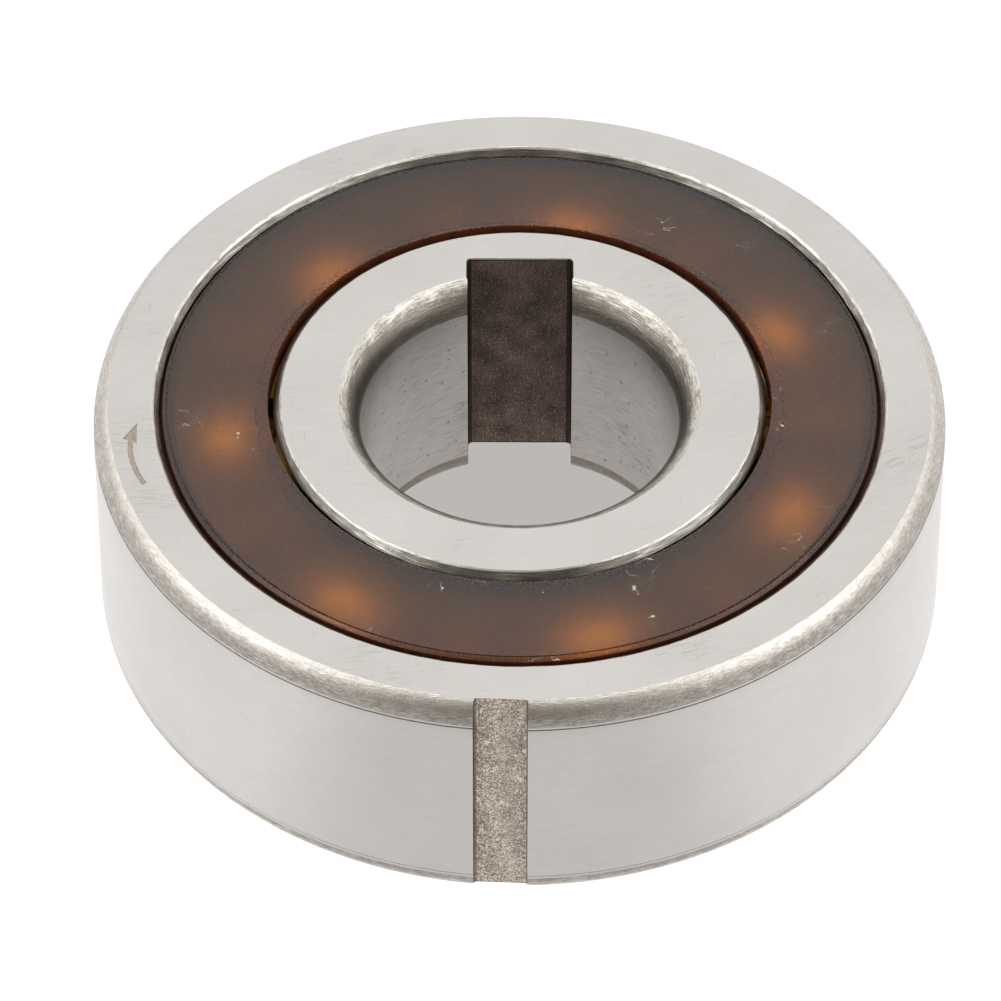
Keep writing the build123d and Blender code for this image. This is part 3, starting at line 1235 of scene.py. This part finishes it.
@dataclass
class Shield:
    """Moulded shield, turned round the axis from its section by Geometry Nodes.

    The groove's walls are shares of its width, and the middle is a share of the inner edge's
    radius. Faces steeper than upright, and those beyond the neck less the slack, are edges in
    opaque painted shade.
    """

    node: str
    thickness: float = 0.6
    lip_width: float = 0.4
    lip_bevel: float = 0.1
    gap: float = 0.2
    rim_inner: float = 12.96
    neck: float = 13.4
    bead_height: float = 0.22
    bead_slope: float = 0.15
    band: float = 0.2
    band_fall: float = 0.12
    groove: float = 0.06
    groove_depth: float = 0.04
    groove_walls: Pair = (0.2, 0.3)
    inner_edge: float = 0.06
    inner_edge_middle: float = 0.3
    near: float = 0.03
    upright: float = 0.3
    slack: float = 0.005
    steps: int = 300

    def section(self, bead: float, inner: float, foot: float, top: float) -> list[Pair]:
        """Draw the shield's section.

        Args:
            bead: Radius of the bead that snaps into the outer ring.
            inner: Radius of the hole.
            foot: Height of the underside.
            top: Height of the outer face.

        Returns:
            Radius and height of its corners, in order. Some lie close together, which keeps the
            shading of the flat faces flat.
        """
        lip = inner + self.lip_width
        underside = top - self.thickness
        bead_top = foot + self.bead_height
        band_start = self.neck - self.band
        groove_end = band_start + self.groove
        groove_floor = top - self.groove_depth
        inner_wall, outer_wall = (self.groove * share for share in self.groove_walls)
        hole_edge = inner + self.inner_edge
        off_edge = self.inner_edge * self.inner_edge_middle
        return [
            (inner, foot),
            (lip, foot),
            (lip + self.lip_bevel, underside),
            (self.rim_inner, underside),
            (self.rim_inner, foot),
            (bead, foot),
            (bead, bead_top),
            (self.neck, bead_top + self.bead_slope),
            (self.neck, top - self.band_fall),
            (groove_end + self.near, top - self.near),
            (groove_end, top - self.near / 2),
            (groove_end - outer_wall, groove_floor),
            (band_start + inner_wall, groove_floor),
            (band_start, top),
            (band_start - self.near, top),
            (hole_edge + self.near, top),
            (hole_edge, top),
            (inner + off_edge, top - off_edge),
            (inner, top - self.inner_edge),
        ]

    @staticmethod
    def lathe_tree() -> bpy.types.NodeTree:
        """Build the tree that turns a section round the axis.

        Returns:
            The tree, with the inputs Section, Path Radius, Steps Round and Plastic.
        """
        name = "turn_section_round_axis"
        if name in bpy.data.node_groups:
            return bpy.data.node_groups[name]
        nodes = Nodes(bpy.data.node_groups.new(name, "GeometryNodeTree"))
        for label, kind, way in (
            ("Section", "Geometry", "INPUT"),
            ("Path Radius", "Float", "INPUT"),
            ("Steps Round", "Int", "INPUT"),
            ("Plastic", "Material", "INPUT"),
            ("Shield", "Geometry", "OUTPUT"),
        ):
            nodes.tree.interface.new_socket(label, in_out=way, socket_type=f"NodeSocket{kind}")
        given = nodes.add("NodeGroupInput").node.outputs
        circle = {"Resolution": given["Steps Round"], "Radius": given["Path Radius"]}
        path = nodes.add("GeometryNodeCurvePrimitiveCircle", circle)
        section = nodes.add("GeometryNodeMeshToCurve", {"Mesh": given["Section"]})
        sweep = {"Curve": path, "Profile Curve": section}
        turned = nodes.add("GeometryNodeCurveToMesh", sweep)
        real = nodes.add("GeometryNodeRealizeInstances", {"Geometry": turned})
        plastic = {"Geometry": real, "Material": given["Plastic"]}
        nodes.add("NodeGroupOutput", {"Shield": nodes.add("GeometryNodeSetMaterial", plastic)})
        return nodes.tree

    def build(self) -> Piece:
        """Make the shield's mesh from its section, at the size of its CAD node.

        Returns:
            The shield, with its plastic on.
        """
        low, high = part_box(self.node)
        foot, top = sorted(abs(corner.z) * PER_MM for corner in (low, high))
        bead = high.x * PER_MM
        inner = box_radius("inner_ring") + self.gap
        path_radius = (inner + bead) / 2
        # Curve to Mesh turns a section's Y to point down the axis.
        side = -1 if high.z > 0 else 1
        data = bpy.data.meshes.new(f"{self.node}_moulded")
        section = self.section(bead, inner, foot, top)
        corners = [((r - path_radius) * MM, side * z * MM, 0.0) for r, z in section]
        edges = [(i, (i + 1) % len(corners)) for i in range(len(corners))]
        data.from_pydata(corners, edges, [])
        piece = new_object(f"{self.node}_moulded", data)
        lathe = piece.modifiers.new("lathe", "NODES")
        lathe.node_group = self.lathe_tree()
        sockets = {item.name: item.identifier for item in lathe.node_group.interface.items_tree}
        lathe[sockets["Path Radius"]] = path_radius * MM
        lathe[sockets["Steps Round"]] = self.steps
        lathe[sockets["Plastic"]] = AMBER_SHIELD.material()
        bake_modifiers(piece)
        finish_mesh(piece)
        piece.data.materials.append(SHIELD_EDGE_PAINTED_SHADE.material())
        # Upright faces and the bead beyond the neck get the edge's opaque painted shade.
        for face in piece.data.polygons:
            upright = abs(face.normal.z) < self.upright
            beyond_neck = face.center.xy.length * PER_MM > self.neck - self.slack
            face.material_index = int(upright or beyond_neck)
        return piece

    def dress(self, piece: Piece) -> None:
        """Give the shield its place in the frame.

        Args:
            piece: Shield with its plastic on.
        """
        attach(piece, "outer_ring")
        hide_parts(self.node)


# ---------------- row behind the shields


@dataclass
class RollingRow:
    """Balls, sprags, springs and cage. Their CAD shapes stay, in their real materials.

    Attributes:
        finishes: First part of a node's name, and its finish. The first that fits counts.
    """

    finishes: tuple[tuple[str, Finish], ...] = (
        ("sprag_spring", ROLLED_SPRING),
        ("sprag", TUMBLED_SPRAG),
        ("ball", LAPPED_BALL),
        ("cage", BLACK_CAGE),
    )

    def dress(self) -> list[str]:
        """Give each CAD node of the row its material.

        Returns:
            Names of the dressed nodes.
        """
        dressed = []
        for name, node in frame["nodes"].items():
            fitting = [finish for start, finish in self.finishes if name.startswith(start)]
            if fitting:
                for slot in node.material_slots:
                    slot.link = "OBJECT"
                    slot.material = fitting[0].material()
                dressed.append(name)
        return dressed


# ---------------- studio


@dataclass(frozen=True)
class PaperFinish(Finish):
    """White paper that glows with painted light. The steel mirrors it with a painted brightness for
    the front and the sides.

    A share of that is left far away, and painted shade leaves a share of it under the bore and on
    the bore's left and right. The camera sees the two brightnesses that come last: a painted shadow
    under
    the bore and white outside it. A span holds the values between which what comes before it
    changes:
    cosines of the angle from the front, or millimetres from the axis.
    """

    # Levels of the painted light and shade on the paper, set by place.
    front: float = 0.98
    side: float = 1.24
    front_span: Pair = (0.72, 0.97)
    far_share: float = 0.55
    far_span: Pair = (28.0, 80.0)
    painted_shade_under_bore: float = 0.57
    bore_span: Pair = (7.0, 13.0)
    painted_shade_bore_sides: float = 0.2
    sides_span: Pair = (3.0, 6.0)
    sides_end_span: Pair = (6.5, 7.5)
    painted_bore_shadow: float = 0.5
    seen: float = 1.15
    seen_span: Pair = (8.0, 13.0)

    def draw(self, nodes: Nodes) -> dict[str, Socket]:
        """Draw the paper.

        Args:
            nodes: Nodes of the material.

        Returns:
            Inputs of the material's output node.
        """
        flat = nodes.add("VectorMath", [nodes.place, (1.0, 1.0, 0.0)], operation="MULTIPLY")
        reach = nodes.add("VectorMath", [flat], "Value", operation="LENGTH")
        course = nodes.add("VectorMath", [flat], operation="NORMALIZE")
        forward = nodes.add(
            "VectorMath", [course, (0.0, -1.0, 0.0)], "Value", operation="DOT_PRODUCT"
        )
        aside = nodes.add("SeparateXYZ", [nodes.place], "X")
        aside = nodes.add("Math", [aside], operation="ABSOLUTE")
        # Painted light and shade: brighter at the sides, dimmer far away, darker under the bore and
        # on its sides.
        # Each row: what the brightness follows, where it starts and ends to change, both levels.
        painted_side_light, far, outside, off_middle, in_bore, seen_light = (
            nodes.add("MapRange", list(row), interpolation_type="SMOOTHSTEP")
            for row in (
                (forward, *self.front_span, self.side, self.front),
                (reach, *self.far_span, 1.0, self.far_share),
                (reach, *self.bore_span, self.painted_shade_under_bore, 1.0),
                (aside, *self.sides_span, 1.0, self.painted_shade_bore_sides),
                (reach, *self.sides_end_span, 1.0, 0.0),
                (reach, *self.seen_span, self.painted_bore_shadow, self.seen),
            )
        )
        painted_bore_shade = nodes.add("Mix", {0: in_bore, 2: 1.0, 3: off_middle}, data_type="FLOAT")
        painted_mirrored_light = painted_side_light
        for share in (far, outside, painted_bore_shade):
            painted_mirrored_light = nodes.add("Math", [painted_mirrored_light, share], operation="MULTIPLY")
        # The camera sees a painted shadow under the bore and white outside it.
        by_camera = nodes.add("LightPath", out="Is Camera Ray")
        strength = nodes.add("Mix", {0: by_camera, 2: painted_mirrored_light, 3: seen_light}, data_type="FLOAT")
        tint = nodes.add(
            "ValToRGB", [outside], stops=((self.painted_shade_under_bore, "#fffaf6"), (1.0, "#fffefe"))
        )
        return {"Surface": nodes.add("Emission", {"Color": tint, "Strength": strength})}


# Paper, coated white and matt, glowing with painted light instead of being lit, with painted shade
# under the bore. Outside the bore the camera sees it so evenly that it shows no edge.
PAINTED_LIGHT_PAPER = PaperFinish(name="paper_floor_white")


@dataclass
class Studio:
    """White paper floor, bright surround, soft boxes and the camera. Lengths are millimetres.

    A share is what is left of the surround's brightness in front and low down, and the span after
    it holds the cosines from the middle of the front, or the heights, between which it changes.
    A soft box has a name, azimuth, elevation, side and radiance. White shows at a radiance of 1.
    """

    distance: float = 288.45
    elevation: float = 45.682
    aim: tuple[float, float, float] = (-0.714, -0.259, -0.253)
    lens: float = 273.27
    sensor: float = 36.0
    clip: Pair = (10.0, 20000.0)
    front: float = -90.0
    floor_half: float = 3000.0
    dome: float = 1.24
    front_elevation: float = 30.0
    front_share: float = 0.24
    front_span: Pair = (0.68, 0.9)
    horizon_share: float = 0.5
    horizon_span: Pair = (0.05, 0.32)
    backdrop: float = 1.15
    box_distance: float = 520.0
    boxes: tuple[tuple[str, float, float, float, float], ...] = (
        ("left", -166.0, 36.0, 380.0, 0.9),
        ("right", -14.0, 36.0, 380.0, 0.9),
        ("top", 90.0, 79.0, 280.0, 1.5),
    )

    def build(self) -> None:
        """Make the floor, the surround, the lights and the camera."""
        self.floor()
        self.surround()
        self.soft_boxes()
        self.camera()
        bpy.context.scene.view_settings.view_transform = "Standard"

    @staticmethod
    def toward(azimuth: float, elevation: float) -> Vector:
        """Point from the object towards an azimuth and elevation in degrees."""
        up = math.radians(elevation)
        return Vector((*polar(math.radians(azimuth), math.cos(up)), math.sin(up)))

    def floor(self) -> None:
        """Lay the paper floor."""
        half, level = self.floor_half * MM, cad_box[0].z
        data = bpy.data.meshes.new("floor")
        signs = ((-1, -1), (1, -1), (1, 1), (-1, 1))
        data.from_pydata([(x * half, y * half, level) for x, y in signs], [], [(0, 1, 2, 3)])
        data.materials.append(PAINTED_LIGHT_PAPER.material())
        new_object("floor", data)

    def surround(self) -> None:
        """Make the bright surround: dimmer and browner in front, low down and behind the camera."""
        world = bpy.data.worlds.new("studio_surround")
        bpy.context.scene.world = world
        world.use_nodes = True
        nodes = Nodes(world.node_tree)
        nodes.tree.nodes.clear()
        direction = nodes.add("TexCoord", out="Generated")
        height = nodes.add("SeparateXYZ", [direction], "Z")
        front = self.toward(self.front, self.front_elevation)
        closeness = nodes.add(
            "VectorMath", [direction, front], "Value", operation="DOT_PRODUCT"
        )
        before, low = (
            nodes.add("MapRange", list(row), interpolation_type="SMOOTHSTEP")
            for row in (
                (closeness, *self.front_span, 1.0, self.front_share),
                (height, *self.horizon_span, self.horizon_share, 1.0),
            )
        )
        share = nodes.add("Math", [before, low], operation="MULTIPLY")
        colour = nodes.add("ValToRGB", [share], stops=((0.2, "#d9c9b4"), (0.9, "#fffdfb")))
        strength = nodes.add("Math", [share, self.dome], operation="MULTIPLY")
        lit = nodes.add("Background", {"Color": colour, "Strength": strength})
        clear = nodes.add("Background", {"Color": linear("#ffffff"), "Strength": self.backdrop})
        by_camera = nodes.add("LightPath", out="Is Camera Ray")
        nodes.add("OutputWorld", {"Surface": nodes.add("MixShader", [by_camera, lit, clear])})

    def soft_boxes(self) -> None:
        """Hang the soft boxes."""
        for name, azimuth, elevation, side, radiance in self.boxes:
            light = bpy.data.lights.new(f"soft_box_{name}", "AREA")
            light.shape = "SQUARE"
            light.size = side * MM
            light.energy = radiance * light.size**2 * math.pi
            where = self.toward(azimuth, elevation)
            box = new_object(light.name, light)
            box.location = where * self.box_distance * MM
            box.rotation_euler = where.to_track_quat("Z", "Y").to_euler()

    def camera(self) -> None:
        """Set the camera at the front, above the clutch."""
        data = bpy.data.cameras.new("camera")
        data.lens = self.lens
        data.sensor_width = self.sensor
        data.clip_start, data.clip_end = (reach * MM for reach in self.clip)
        camera = new_object("camera", data)
        where = self.toward(self.front, self.elevation) * self.distance * MM
        camera.location = where
        camera.rotation_euler = (Vector(self.aim) * MM - where).to_track_quat("-Z", "Y").to_euler()
        bpy.context.scene.camera = camera


# ---------------- all together


def main() -> None:
    """Build and dress the clutch and its studio, and report each piece."""
    logging.basicConfig(level=logging.INFO, format="%(name)s: %(message)s")
    Studio().build()
    for part in (OuterRing(), InnerRing(), Shield("top_shield"), Shield("bottom_shield")):
        piece = part.build()
        part.dress(piece)
        log.info("%s has %d faces", piece.name, len(piece.data.polygons))
    for name in RollingRow().dress():
        log.info("%s keeps its CAD shape", name)


if __name__ == "__main__":
    main()
